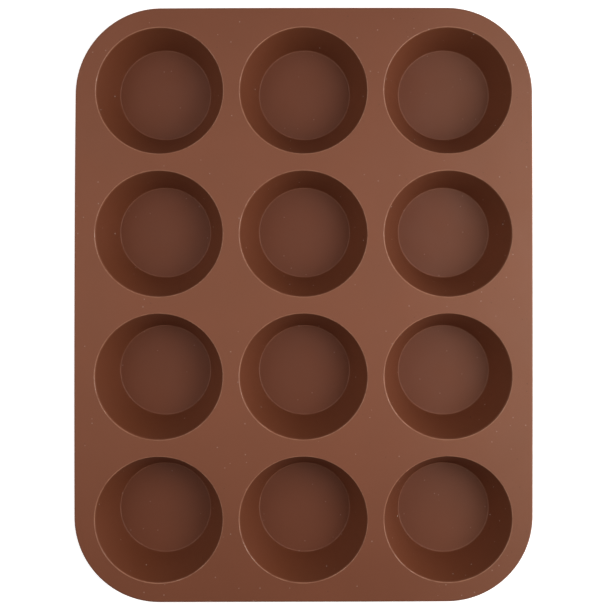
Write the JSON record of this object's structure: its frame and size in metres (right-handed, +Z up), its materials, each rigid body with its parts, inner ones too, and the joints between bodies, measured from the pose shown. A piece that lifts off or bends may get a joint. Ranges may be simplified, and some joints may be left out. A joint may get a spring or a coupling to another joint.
{
  "type": "muffin pan",
  "caption": "Silicone muffin pan: a flat round-cornered sheet with tapered round cups in a grid and a stiffening bead under its edge, standing on the cup floors.",
  "frame": {"origin": "on the surface that the pan stands on, under the middle of the pan, between the second and third rows of cups", "axes": "+Z up out of the cups, +Y along the long side towards the first row, +X along the short side towards the third column"},
  "size_m": [0.25, 0.3242, 0.03],
  "materials": {
    "silicone": "satin"
  },
  "bodies": {
    "root": {"top_sheet": "silicone", "rim_bead": "silicone", "cup_r1_c1": "silicone", "cup_r1_c2": "silicone", "cup_r1_c3": "silicone", "cup_r2_c1": "silicone", "cup_r2_c2": "silicone", "cup_r2_c3": "silicone", "cup_r3_c1": "silicone", "cup_r3_c2": "silicone", "cup_r3_c3": "silicone", "cup_r4_c1": "silicone", "cup_r4_c2": "silicone", "cup_r4_c3": "silicone"}
  },
  "joints": []
}
